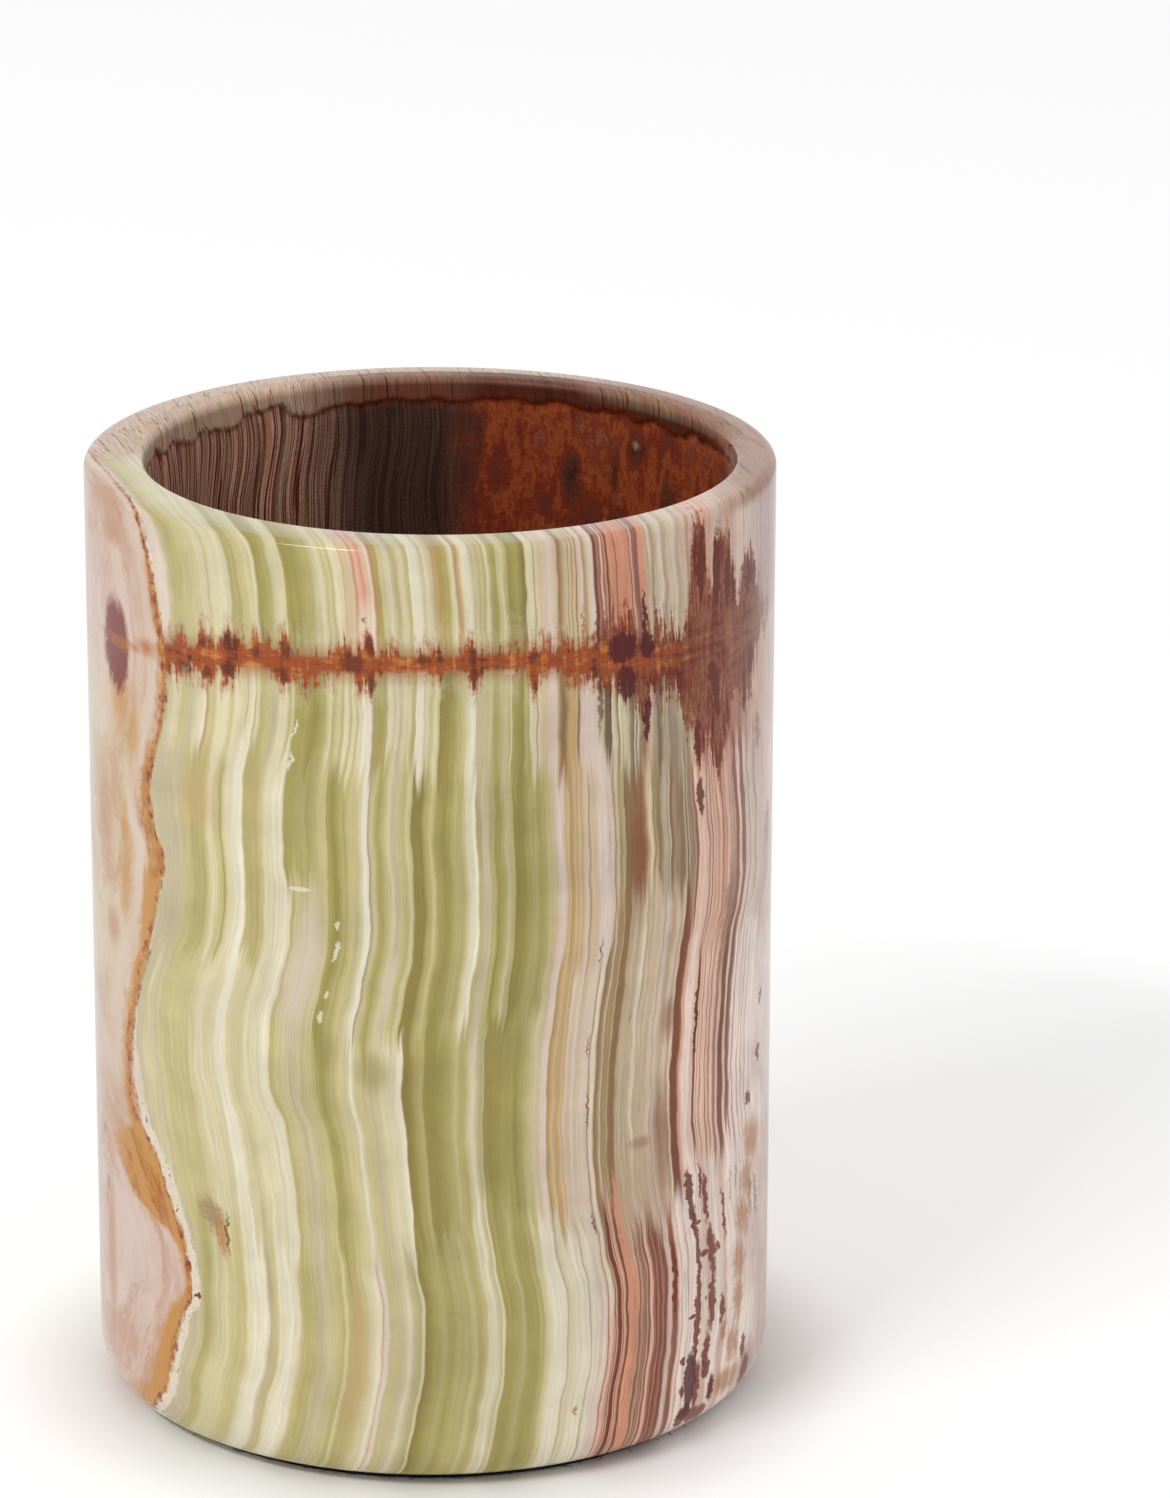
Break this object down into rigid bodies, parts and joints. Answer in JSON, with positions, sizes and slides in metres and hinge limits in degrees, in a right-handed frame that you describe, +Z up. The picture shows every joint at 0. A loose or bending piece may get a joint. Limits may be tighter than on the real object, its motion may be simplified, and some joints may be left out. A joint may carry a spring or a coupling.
{
  "type": "pen holder",
  "caption": "Round straight-sided pen cup turned from banded onyx, with a blind bore open at the top and a thin felt base.",
  "frame": {"origin": "centre of the felt's underside, on the surface that the cup stands on", "axes": "+Z up along the cup's axis, -Y the front, +X towards the thinner side of the wall"},
  "size_m": [0.072, 0.072, 0.102],
  "materials": {
    "onyx": "polished outside and on the rim, ground and unpolished in the bore",
    "adhesive": "thin clear-amber film",
    "felt": "pressed black felt"
  },
  "bodies": {
    "root": {"onyx_cup": "onyx", "adhesive_film": "adhesive", "felt_pad": "felt"}
  },
  "joints": []
}
